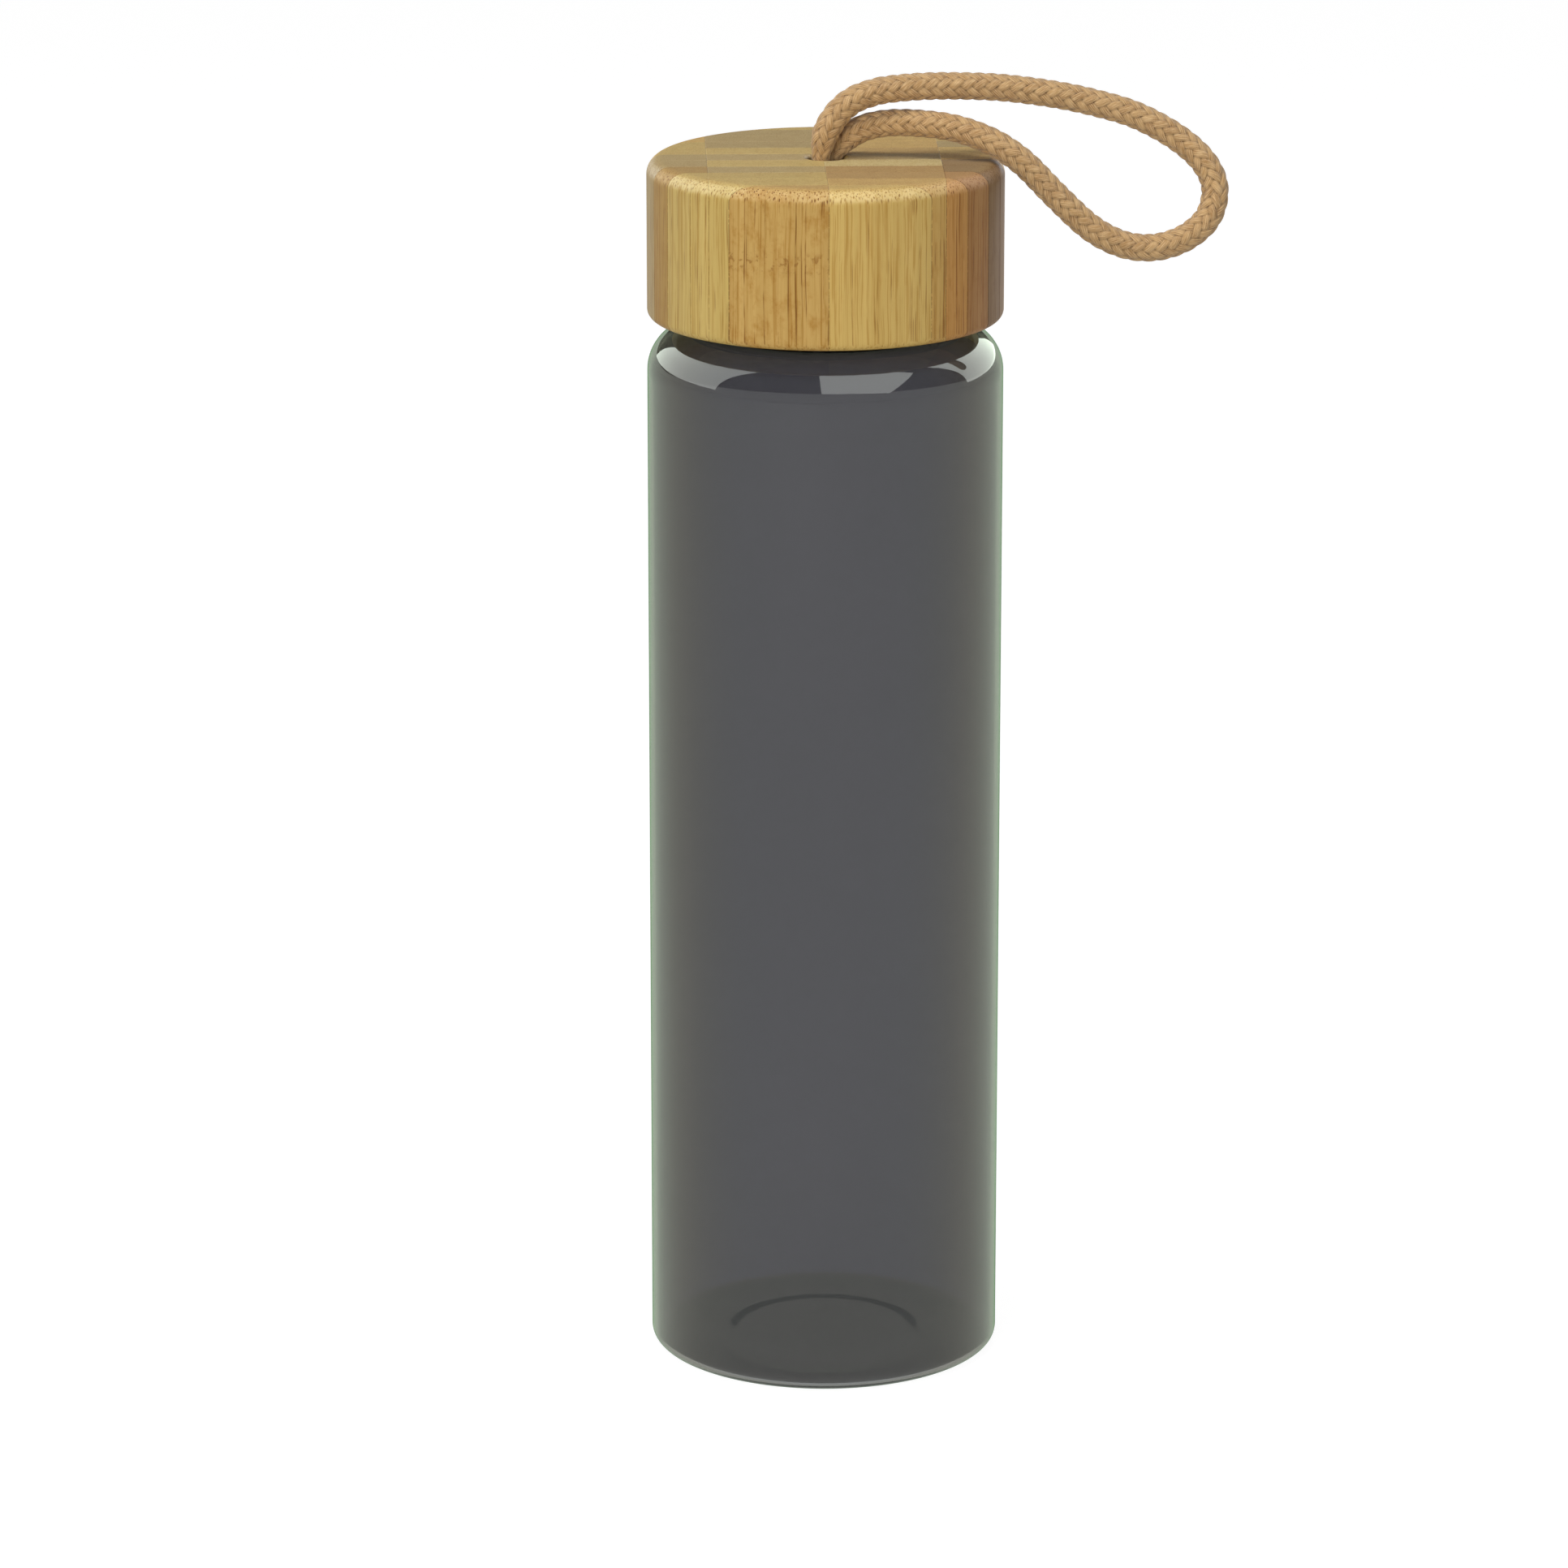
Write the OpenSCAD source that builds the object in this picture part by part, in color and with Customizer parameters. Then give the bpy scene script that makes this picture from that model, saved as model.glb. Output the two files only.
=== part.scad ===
// Glass water bottle with a laminated bamboo screw lid and a braided cord carry loop.
// Millimetres, +Z up, origin at the centre of the base, the cord loop hanging towards +X.

/* [Glass body] */
// Outer diameter of the glass body
body_d = 65; // [64:0.5:66]
// Height at which the straight side turns into the shoulder
side_h = 187; // [150:1:210]
// Thickness of the glass in the side
wall_t = 1; // [0.8:0.1:1.6]
// Thickness of the glass in the middle of the floor
floor_t = 1.5; // [1.4:0.1:3]
// Radius of the floor's thicker middle
floor_r = 20; // [16:0.5:24]
// Outer radius of the shoulder
shoulder_r = 8; // [7.5:0.1:8.5]
// Outer radius of the heel
heel_r = 2.4; // [1.8:0.1:3]
// Radius of the shallow hollow under the base
punt_r = 18.6; // [16:0.2:24]
// Depth of the hollow under the base
punt_h = 0.5; // [0.2:0.05:0.6]

/* [Glass neck] */
// Outer diameter of the neck between its threads
neck_d = 44; // [43:0.5:44.5]
// Inner diameter of the mouth
mouth_d = 40.4; // [39:0.1:40.8]
// Height of the neck above the shoulder
neck_h = 13; // [12:0.5:14]
// Rise of the screw thread in one turn
thread_pitch = 4.5; // [4.4:0.1:4.8]
// Height of the glass thread above the neck
thread_h = 1.4; // [1:0.1:1.5]
// Turns of thread on the neck and in the lid
thread_turns = 1.25; // [1:0.05:1.3]

/* [Lid] */
// Height of the bamboo lid
cap_h = 29.2; // [28:0.2:31]
// Gap seen between the shoulder and the lid
cap_gap = 2; // [1.5:0.1:2.5]
// Radius of the lid's top edge
cap_top_r = 3; // [2:0.1:3.5]
// Radius of the lid's bottom edge
cap_bottom_r = 1.5; // [0.5:0.1:2]
// Width of one bamboo strip
strip_w = 21.2; // [20.5:0.1:22]
// Thickness of one bamboo strip
strip_t = 6; // [5.5:0.1:6.5]
// Angle that the strips are turned by on the lid
strip_turn = 1.5; // [0:0.5:3]

/* [Insert and seal] */
// Wall of the threaded insert
insert_wall = 1.8; // [1.6:0.1:2]
// Thickness of the insert's closed top
insert_top_t = 2; // [1.5:0.1:2.5]
// Thickness of the seal ring
seal_t = 1.9; // [1.5:0.1:2]

/* [Cord] */
// Diameter of the braided cord
cord_d = 5; // [4:0.1:5]
// Diameter of the hole that both ends of the cord go through
cord_hole_d = 7; // [6.9:0.1:9]
// Bamboo left above the pocket that holds the knot
hole_plate_t = 5.2; // [5:0.1:5.6]

/* [Hidden] */
$fn = 160;

// Glass, from the base up
body_r = body_d / 2;
punt_slope = 3;
heel_step = 0.2;
shoulder_x = body_r - shoulder_r;
shoulder_z = side_h + shoulder_r;
neck_r = neck_d / 2;
neck_fillet = 1.5;
mouth_r = mouth_d / 2;
rim_z = shoulder_z + neck_h;
rim_r = (neck_r - mouth_r) / 2;

// Thread: half widths of a ridge at its root and crest, and how deep it is sunk into its wall
ridge_root = 1.2;
ridge_crest = 0.6;
nut_root = 1;
nut_crest = 0.5;
ridge_sink = 0.6;
ridge_step = 10;
ridge_taper = 40;
ridge_thin_end = 0.02;

// Where the threads lie: the insert's ridge runs below the glass one, lifted towards it as when
// screwed tight
thread_gap = 0.4;
thread_rise = 3.6;
thread_z = shoulder_z + thread_rise;
thread_crest_r = neck_r + thread_h;
nut_gap = 0.5;
nut_crest_r = neck_r + nut_gap;
nut_lift = 0.35;
nut_shift = thread_pitch / 2 - nut_lift;
nut_start = 160;

// Lid, from the inside out
cap_r = body_r;
cap_z = shoulder_z + cap_gap;
cap_top = cap_z + cap_h;
insert_in_r = thread_crest_r + thread_gap;
insert_r = insert_in_r + insert_wall;
insert_recess = 0.6;
insert_z = cap_z + insert_recess;
seal_gap = 0.2;
seal_slack = 0.1;
seal_side_gap = 0.5;
seal_overhang = 0.8;
seal_z = rim_z + seal_gap;
seal_r = insert_in_r - seal_side_gap;
seal_in_r = mouth_r - seal_overhang;
seal_edge = 0.3;
insert_ceiling = seal_z + seal_t + seal_slack;
insert_top = insert_ceiling + insert_top_t;
insert_edge = 0.6;

// Cord hole, and the pocket for the knot
hole_r = cord_hole_d / 2;
hole_edge_r = 0.8;
pocket_r = 9.5;
pocket_z = cap_top - hole_plate_t;
knot_r = 8.8;
knot_edge = 3.4;
knot_gap = 0.2;
knot_z = insert_top + knot_gap;
knot_top = -6.2;

// Route of the cord's centre line: x, y, and height above the lid's top
cord_route = [
    [-0.9, -1.4, knot_top], [-0.9, -1.4, -3], [-0.9, -1.4, 0], [-0.5, -1.4, 2.8], [0.2, -1.3, 5],
    [1.4, -1.1, 7.1], [3, -0.8, 9], [5.3, -0.4, 10.6], [8.1, 0, 11.6], [11.1, 0.5, 12.2],
    [17.4, 1.5, 12.6], [25, 2.5, 12.5], [32.7, 3.2, 12], [41.6, 3.8, 10.7], [49, 4, 9.1],
    [56.3, 3.8, 6.9], [63.4, 3, 3.2], [68.4, 1.8, -1], [70.6, 0.6, -5.6], [69.6, -0.8, -10.6],
    [66, -2.2, -14], [61.2, -3.2, -15.8], [56.3, -3.8, -15.9], [51.8, -4.2, -14.5],
    [47.2, -4.4, -11.6], [41.5, -4.4, -6.2], [36.2, -4.2, -0.8], [32.2, -3.9, 2.2], [28.8, -3.2, 3.9],
    [25, -2, 5.1], [21, -0.8, 5.8], [15.4, 0.6, 6.1], [11.1, 1.4, 5.9], [7.3, 1.7, 5.1], [4.6, 1.8, 3.7],
    [2.9, 1.7, 2.1], [1.7, 1.5, 0.3], [1.1, 1.4, -1.5], [0.9, 1.4, -3.4], [0.9, 1.4, knot_top]
];
cord_sides = 10;

// The hole presses the cord thin: its share of the full thickness there, how many points at each end
// that holds for, and how fast it swells from point to point after them
cord_pressed = 0.66;
pressed_points = 2;
cord_swell = 0.12;

// Strips, as [column, row]: columns run along X and rows along Y
columns = [0, 1, 2, 3];
rows = [0 : 10];
middle_row = 5;
column_shift = -0.4;
least_strip = 1.5;

function strip_x(c) = (c - 2) * strip_w + column_shift;
function strip_y(r) = (r - middle_row - 0.5) * strip_t;
function nearest(low, size) = low > 0 ? low : low + size < 0 ? low + size : 0;
function inner_corner(s) = norm([nearest(strip_x(s[0]), strip_w), nearest(strip_y(s[1]), strip_t)]);
function strip_name(s) = str("bamboo_strip_", s[0] + 1, "_", s[1] + 1);

STRIPS = [for (c = columns, r = rows) if (inner_corner([c, r]) < cap_r - least_strip) [c, r]];

// Points of an arc about [x, z], from angle a to angle b
function arc(x, z, r, a, b, n) = [
    for (i = [0 : n]) let (t = a + (b - a) * i / n) [x + r * cos(t), z + r * sin(t)]
];

// Points of a soft rise from one level to another
function swell(x0, z0, x1, z1, n) = [
    for (i = [0 : n]) [x0 + (x1 - x0) * i / n, z0 + (z1 - z0) * (1 - cos(180 * i / n)) / 2]
];

// The half section of the glass, all of it one piece
function glass_section() = concat(
    [[0, punt_h]],
    swell(punt_r - punt_slope, punt_h, punt_r, 0, 6),
    arc(body_r - heel_r, heel_r, heel_r, -90, 0, 5),
    arc(shoulder_x, side_h, shoulder_r, 0, 90, 12),
    arc(neck_r + neck_fillet, shoulder_z + neck_fillet, neck_fillet, 270, 180, 5),
    arc(neck_r - rim_r, rim_z - rim_r, rim_r, 0, 180, 8),
    arc(mouth_r + neck_fillet, shoulder_z - wall_t + neck_fillet, neck_fillet, 180, 270, 5),
    arc(shoulder_x - wall_t, side_h - wall_t, shoulder_r, 90, 0, 12),
    arc(body_r - heel_r, heel_r, heel_r - wall_t, 0, -90, 5),
    swell(body_r - heel_r - heel_step, wall_t, floor_r, floor_t, 6),
    [[0, floor_t]]
);

// The half section of the whole bamboo lid
function cap_section() = concat(
    [[insert_r, cap_z]],
    arc(cap_r - cap_bottom_r, cap_z + cap_bottom_r, cap_bottom_r, -90, 0, 5),
    arc(cap_r - cap_top_r, cap_top - cap_top_r, cap_top_r, 0, 90, 8),
    arc(hole_r + hole_edge_r, cap_top - hole_edge_r, hole_edge_r, 90, 180, 4),
    [[hole_r, pocket_z], [pocket_r, pocket_z], [pocket_r, insert_top], [insert_r, insert_top]]
);

// How much of its height a thread ridge has at an angle, so that both its ends fade out
function fade(angle, sweep) = min(1, angle / ridge_taper, (sweep - angle) / ridge_taper);

// A helical ridge with a trapezoid section: root and crest are radii, w and v half widths there
module ridge(root, crest, w, v, start_angle, start_z, turns) {
    sweep = turns * 360;
    n = ceil(sweep / ridge_step);
    rings = [
        for (i = [0 : n])
            let (
                a = sweep * i / n,
                k = max(ridge_thin_end, fade(a, sweep)),
                z = start_z + thread_pitch * a / 360,
                tip = root + (crest - root) * k
            )
            for (p = [[root, -w], [tip, -v * k], [tip, v * k], [root, w]])
                [p[0] * cos(start_angle + a), p[0] * sin(start_angle + a), z + p[1]]
    ];
    sides = [
        for (i = [0 : n - 1], j = [0 : 3])
            let (a = 4 * i + j, b = 4 * i + (j + 1) % 4)
            [a, b, b + 4, a + 4]
    ];
    outward = crest > root;
    faces = concat([[3, 2, 1, 0]], sides, [[4 * n, 4 * n + 1, 4 * n + 2, 4 * n + 3]]);
    polyhedron(rings, outward ? faces : [for (f = faces) [for (i = [len(f) - 1 : -1 : 0]) f[i]]]);
}

module glass_bottle() {
    color("#55585a", 0.6) {
        rotate_extrude() polygon(glass_section());
        ridge(
            neck_r - ridge_sink, thread_crest_r, ridge_root, ridge_crest,
            0, thread_z, thread_turns
        );
    }
}

module seal_ring() {
    color("whitesmoke") rotate_extrude() polygon([
        [seal_in_r, seal_z + seal_edge],
        [seal_in_r + seal_edge, seal_z],
        [seal_r - seal_edge, seal_z],
        [seal_r, seal_z + seal_edge],
        [seal_r, seal_z + seal_t - seal_edge],
        [seal_r - seal_edge, seal_z + seal_t],
        [seal_in_r + seal_edge, seal_z + seal_t],
        [seal_in_r, seal_z + seal_t - seal_edge]
    ]);
}

// Threaded cup that the lid screws on by
module cap_insert() {
    color("#2b2b2c") {
        rotate_extrude() polygon([
            [0, insert_ceiling],
            [insert_in_r, insert_ceiling],
            [insert_in_r, insert_z + insert_edge],
            [insert_in_r + insert_edge, insert_z],
            [insert_r, insert_z],
            [insert_r, insert_top],
            [0, insert_top]
        ]);
        ridge(
            insert_in_r + ridge_sink, nut_crest_r, nut_root, nut_crest,
            nut_start, thread_z + thread_pitch * nut_start / 360 - nut_shift, thread_turns
        );
    }
}

module cap_blank() {
    rotate_extrude() polygon(cap_section());
}

// One glued bamboo strip: the part of the turned lid that lies in the strip's own rectangle
module bamboo_strip(s) {
    color(["#c3a45f", "#b9904f", "#cda968"][(s[0] + 2 * s[1]) % 3])
        intersection() {
            cap_blank();
            rotate(strip_turn)
                translate([strip_x(s[0]), strip_y(s[1]), cap_z])
                    cube([strip_w, strip_t, cap_h]);
        }
}

// Both ends of the cord knotted together, under the bamboo and above the insert
module cord_knot() {
    top = cap_top + knot_top;
    color("#a78a5b") rotate_extrude() polygon(concat(
        [[0, knot_z]],
        arc(knot_r - knot_edge, knot_z + knot_edge, knot_edge, -90, 0, 6),
        arc(knot_r - knot_edge, top - knot_edge, knot_edge, 0, 90, 6),
        [[0, top]]
    ));
}

function unit(v) = v / norm(v);
function along(p, i) = unit(p[min(i + 1, len(p) - 1)] - p[max(i - 1, 0)]);

// Frames carried along the route without twist: [direction, side] for each point
function carried(p, i, side, found = []) =
    i == len(p) ? found :
    let (t = along(p, i), s = unit(side - (side * t) * t))
    carried(p, i + 1, s, concat(found, [[t, s]]));

// Share of its full thickness that the cord has at a point of its route
function cord_girth(i, last) =
    min(1, cord_pressed + cord_swell * max(0, min(i, last - i) - pressed_points));

module cord_loop() {
    line = [for (p = cord_route) [p[0], p[1], p[2] + cap_top]];
    frames = carried(line, 0, [1, 0, 0]);
    n = cord_sides;
    rings = [
        for (i = [0 : len(line) - 1], j = [0 : n - 1])
            let (t = frames[i][0], s = frames[i][1], a = 360 * j / n)
            line[i] + cord_girth(i, len(line) - 1) * cord_d / 2 * (cos(a) * s + sin(a) * cross(t, s))
    ];
    last = n * (len(line) - 1);
    color("#b08a58") polyhedron(rings, concat(
        [[for (j = [0 : n - 1]) j]],
        [
            for (i = [0 : len(line) - 2], j = [0 : n - 1])
                let (a = n * i + j, b = n * i + (j + 1) % n)
                [a, a + n, b + n, b]
        ],
        [[for (j = [n - 1 : -1 : 0]) last + j]]
    ));
}

glass_bottle();
seal_ring();
cap_insert();
cord_knot();
cord_loop();
for (s = STRIPS) bamboo_strip(s);
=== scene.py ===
import math

import bmesh
import bpy
import numpy as np
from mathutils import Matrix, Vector


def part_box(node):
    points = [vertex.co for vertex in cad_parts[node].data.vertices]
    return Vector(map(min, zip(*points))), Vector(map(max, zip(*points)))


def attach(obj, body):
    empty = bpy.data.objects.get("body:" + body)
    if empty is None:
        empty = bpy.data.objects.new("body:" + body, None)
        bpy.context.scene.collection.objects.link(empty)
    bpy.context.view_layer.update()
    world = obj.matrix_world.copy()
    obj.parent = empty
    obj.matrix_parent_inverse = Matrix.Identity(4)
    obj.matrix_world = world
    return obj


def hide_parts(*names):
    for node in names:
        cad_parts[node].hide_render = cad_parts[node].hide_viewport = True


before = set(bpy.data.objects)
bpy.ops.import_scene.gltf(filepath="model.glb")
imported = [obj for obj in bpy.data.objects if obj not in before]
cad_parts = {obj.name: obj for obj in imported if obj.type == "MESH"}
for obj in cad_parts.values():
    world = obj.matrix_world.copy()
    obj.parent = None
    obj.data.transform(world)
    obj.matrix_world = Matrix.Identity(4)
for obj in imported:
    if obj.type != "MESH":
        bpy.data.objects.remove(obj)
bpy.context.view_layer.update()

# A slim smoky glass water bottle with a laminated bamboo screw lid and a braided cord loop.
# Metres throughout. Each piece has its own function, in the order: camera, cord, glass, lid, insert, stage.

# Places read from the frame
GLASS_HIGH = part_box("glass_bottle")[1]
LID_LOW, LID_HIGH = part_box("bamboo_strip_1_6")
INSERT_LOW, INSERT_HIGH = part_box("cap_insert")
SEAL_LOW, SEAL_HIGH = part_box("seal_ring")
KNOT_LOW, KNOT_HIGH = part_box("cord_knot")
BODY_R = GLASS_HIGH.x
RIM_Z = GLASS_HIGH.z
LID_BOTTOM = LID_LOW.z
LID_TOP = LID_HIGH.z
INSERT_R = INSERT_HIGH.x
SEAL_R = SEAL_HIGH.x

# Glass, as in the CAD
WALL = 0.001
FLOOR = 0.0015           # the floor's thickness inside FLOOR_R
FLOOR_R = 0.02
SHOULDER_R = 0.008
HEEL_R = 0.0024
HEEL_STEP = 0.0002       # level part inside the heel, before the floor starts to thicken
PUNT_R = 0.0186          # the hollow under the base
PUNT_H = 0.0005
PUNT_SLOPE = 0.003
NECK_H = 0.013
NECK_R = 0.022
MOUTH_R = 0.0202
NECK_FILLET = 0.0015
SHOULDER_Z = RIM_Z - NECK_H
SIDE_Z = SHOULDER_Z - SHOULDER_R
SHOULDER_X = BODY_R - SHOULDER_R

# Thread, as in the CAD
PITCH = 0.0045
THREAD_TURNS = 1.25
THREAD_Z = SHOULDER_Z + 0.0036
THREAD_H = 0.0014
THREAD_HALF = 0.0011
THREAD_TAPER = math.radians(40)

# Insert and seal, as in the CAD; the nut is the thread inside the insert
INSERT_WALL = 0.0018
INSERT_ROOF = 0.002
INSERT_EDGE = 0.0004
NUT_START = math.radians(160)
NUT_SHIFT = 0.0019
NUT_H = 0.0013
NUT_HALF = 0.0009
SEAL_INNER_R = 0.0194
SEAL_EDGE = 0.0003
SEAL_LIP_H = 0.00015
SEAL_LIP_HALF = 0.0003
SEAL_LIP_IN = 0.0012     # from the ring's edge to the middle of a lip

# Lid, as in the CAD
LID_TOP_R = 0.003
LID_BOTTOM_R = 0.0015
HOLE_R = 0.0035
HOLE_EDGE_R = 0.0008
POCKET_R = 0.0095
POCKET_Z = LID_TOP - 0.0052
STRIP_W = 0.0212
STRIP_T = 0.006
STRIP_TURN = math.radians(1.5)
COLUMN_SHIFT = -0.0004
MIDDLE_COLUMN = 3        # the column that starts, and the row that has its middle, on the lid's axis
MIDDLE_ROW = 6
GLUE_DEPTH = 0.00005     # the groove along a glue line
GLUE_HALF = 0.00012

# Cord: the route's points repeat the CAD's, as x, y and height above the lid's top, in millimetres
CORD_ROUTE = [
    (-0.9, -1.4, -6.2), (-0.9, -1.4, -3), (-0.9, -1.4, 0), (-0.5, -1.4, 2.8), (0.2, -1.3, 5),
    (1.4, -1.1, 7.1), (3, -0.8, 9), (5.3, -0.4, 10.6), (8.1, 0, 11.6), (11.1, 0.5, 12.2),
    (17.4, 1.5, 12.6), (25, 2.5, 12.5), (32.7, 3.2, 12), (41.6, 3.8, 10.7), (49, 4, 9.1),
    (56.3, 3.8, 6.9), (63.4, 3, 3.2), (68.4, 1.8, -1), (70.6, 0.6, -5.6), (69.6, -0.8, -10.6),
    (66, -2.2, -14), (61.2, -3.2, -15.8), (56.3, -3.8, -15.9), (51.8, -4.2, -14.5),
    (47.2, -4.4, -11.6), (41.5, -4.4, -6.2), (36.2, -4.2, -0.8), (32.2, -3.9, 2.2), (28.8, -3.2, 3.9),
    (25, -2, 5.1), (21, -0.8, 5.8), (15.4, 0.6, 6.1), (11.1, 1.4, 5.9), (7.3, 1.7, 5.1), (4.6, 1.8, 3.7),
    (2.9, 1.7, 2.1), (1.7, 1.5, 0.3), (1.1, 1.4, -1.5), (0.9, 1.4, -3.4), (0.9, 1.4, -6.2),
]
CORD_SQUEEZE = 0.66      # how thin the cord is pressed where both its ends share the hole
CORD_PRESSED = 0.0055    # length of each end that is pressed, and then the length over which it swells
CORD_SWELLS = 0.006

# Tolerances of the mesh work
MERGE = 1e-7
ON_FACE = 1e-6
SAME_RADIUS = 1e-9
TURNED_EDGE = math.radians(25)     # a sharper turn than this stays a hard edge
CUT_EDGE = math.radians(13)


# ---------------------------------------------------------------- camera

CAMERA_LENS = 160.16
CAMERA_PLACE = (-0.00754, -1.2466, 0.4611)
CAMERA_TILT = math.radians(74.19)


def make_camera():
    """Looks down on the bottle by 16 degrees, from the front."""
    data = bpy.data.cameras.new("camera")
    data.lens = CAMERA_LENS
    data.sensor_width = 36
    data.clip_end = 50
    camera = bpy.data.objects.new("camera", data)
    camera.location = CAMERA_PLACE
    camera.rotation_euler = (CAMERA_TILT, 0, 0)
    bpy.context.scene.collection.objects.link(camera)
    bpy.context.scene.camera = camera


# ---------------------------------------------------------------- mesh helpers

def new_object(name, mesh, body):
    """Links a mesh as a piece that rides on a body."""
    piece = bpy.data.objects.new(name, mesh)
    bpy.context.scene.collection.objects.link(piece)
    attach(piece, body)
    return piece


def mesh_from(name, verts, faces):
    mesh = bpy.data.meshes.new(name)
    mesh.from_pydata([tuple(v) for v in verts], [], faces)
    mesh.update()
    return mesh


def smooth_by_angle(bm, angle):
    """Smooth faces, with a hard edge where two faces turn by more than the angle."""
    for face in bm.faces:
        face.smooth = True
    for edge in bm.edges:
        edge.smooth = len(edge.link_faces) == 2 and edge.calc_face_angle(0) < angle


def arc(x, z, r, a, b, n):
    """Points of an arc about (x, z), from angle a to angle b in degrees."""
    turn = [math.radians(a + (b - a) * i / n) for i in range(n + 1)]
    return [(x + r * math.cos(t), z + r * math.sin(t)) for t in turn]


def swell(r0, z0, r1, z1, n):
    """Points of a soft rise from one level to another."""
    found = []
    for i in range(n + 1):
        rise = (1 - math.cos(math.pi * i / n)) / 2
        found.append((r0 + (r1 - r0) * i / n, z0 + (z1 - z0) * rise))
    return found


def supported(section, reach=0.0004, long=0.0025):
    """Adds a point close to both ends of each long stretch, so that smooth shading stays flat on it."""
    found = []
    for (r0, z0), (r1, z1) in zip(section, section[1:]):
        found.append((r0, z0))
        length = math.hypot(r1 - r0, z1 - z0)
        if length > long:
            for share in (reach / length, 1 - reach / length):
                found.append((r0 + (r1 - r0) * share, z0 + (z1 - z0) * share))
    found.append(section[-1])
    return found


def lathe(name, section, segments, shift=None):
    """Turns a half section round Z. It may start and end on the axis; otherwise it closes on itself.
    shift(r, z, turn) is added to the radius."""
    poles = section[0][0] == 0
    turn = np.linspace(0, 2 * math.pi, segments, endpoint=False)
    r = np.array([p[0] for p in section])[:, None] * np.ones(segments)
    z = np.array([p[1] for p in section])[:, None] * np.ones(segments)
    if shift is not None:
        r = r + shift(r, z, turn[None, :])
    verts = np.stack([r * np.cos(turn), r * np.sin(turn), z], axis=2).reshape(-1, 3)
    rows = len(section)
    faces = []
    last = rows - 1 if poles else rows
    for i in range(last):
        j = (i + 1) % rows
        for k in range(segments):
            m = (k + 1) % segments
            faces.append((i * segments + k, i * segments + m, j * segments + m, j * segments + k))
    mesh = mesh_from(name, verts, faces)
    bm = bmesh.new()
    bm.from_mesh(mesh)
    bmesh.ops.remove_doubles(bm, verts=bm.verts, dist=MERGE)
    bmesh.ops.recalc_face_normals(bm, faces=bm.faces)
    smooth_by_angle(bm, TURNED_EDGE)
    bm.to_mesh(mesh)
    bm.free()
    return mesh


def float_attribute(mesh, name, values):
    attribute = mesh.attributes.new(name, "FLOAT", "POINT")
    attribute.data.foreach_set("value", np.asarray(values, np.float32))


def vector_attribute(mesh, name, values):
    attribute = mesh.attributes.new(name, "FLOAT_VECTOR", "POINT")
    attribute.data.foreach_set("vector", np.asarray(values, np.float32).ravel())


# ---------------------------------------------------------------- material helpers

class Nodes:
    """A small builder for the node tree of a material or a world."""

    def __init__(self, owner):
        owner.use_nodes = True
        self.owner = owner
        self.tree = owner.node_tree
        self.shader = self.tree.nodes.get("Principled BSDF")

    def node(self, kind, **settings):
        made = self.tree.nodes.new(kind)
        for key, value in settings.items():
            setattr(made, key, value)
        return made

    def put(self, value, socket):
        if isinstance(value, bpy.types.NodeSocket):
            self.tree.links.new(value, socket)
        else:
            socket.default_value = value

    def maths(self, operation, a, b=0.0, c=0.0, clamp=False):
        made = self.node("ShaderNodeMath", operation=operation, use_clamp=clamp)
        for value, socket in zip((a, b, c), made.inputs):
            self.put(value, socket)
        return made.outputs[0]

    def vector(self, operation, a, b=(0, 0, 0)):
        made = self.node("ShaderNodeVectorMath", operation=operation)
        self.put(a, made.inputs[0])
        self.put(b, made.inputs[3 if operation == "SCALE" else 1])
        return made.outputs[0]

    def step(self, value, low, high):
        """0 below low and 1 above high, with a smooth rise between them."""
        made = self.node("ShaderNodeMapRange", interpolation_type="SMOOTHSTEP")
        for v, socket in zip((value, low, high), made.inputs):
            self.put(v, socket)
        return made.outputs[0]

    def noise(self, vector, scale, detail=2.0, rough=0.5, color=False):
        made = self.node("ShaderNodeTexNoise")
        self.put(vector, made.inputs["Vector"])
        made.inputs["Scale"].default_value = scale
        made.inputs["Detail"].default_value = detail
        made.inputs["Roughness"].default_value = rough
        return made.outputs["Color" if color else "Fac"]

    def mix(self, share, a, b):
        """Colour a, or colour b where the share is 1."""
        made = self.node("ShaderNodeMix", data_type="RGBA")
        self.put(share, made.inputs[0])
        self.put(a, made.inputs[6])
        self.put(b, made.inputs[7])
        return made.outputs[2]

    def shade(self, amount, tint, under):
        """Multiplies a colour by a tint, by that amount."""
        return self.mix(amount, under, self.vector("MULTIPLY", under, tint))

    def place(self):
        """Object coordinates in millimetres."""
        where = self.node("ShaderNodeTexCoord").outputs["Object"]
        return self.vector("MULTIPLY", where, (1000, 1000, 1000))

    def attribute(self, name, output="Fac"):
        made = self.node("ShaderNodeAttribute", attribute_name=name)
        return made.outputs[output]

    def bump(self, height, distance, strength=1.0):
        made = self.node("ShaderNodeBump")
        made.inputs["Strength"].default_value = strength
        made.inputs["Distance"].default_value = distance
        self.put(height, made.inputs["Height"])
        self.put(made.outputs[0], self.shader.inputs["Normal"])

    def set(self, **values):
        """Sets or links the shader's sockets; an underscore stands for a space. Returns the material."""
        for key, value in values.items():
            self.put(value, self.shader.inputs[key.replace("_", " ")])
        return self.owner


def material_nodes(name):
    return Nodes(bpy.data.materials.new(name))


def srgb(r, g, b):
    """Linear colour from the usual 0 to 255 values."""
    parts = [c / 255 for c in (r, g, b)]
    return tuple(c / 12.92 if c <= 0.04045 else ((c + 0.055) / 1.055) ** 2.4 for c in parts) + (1,)


# ---------------------------------------------------------------- cord

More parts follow.
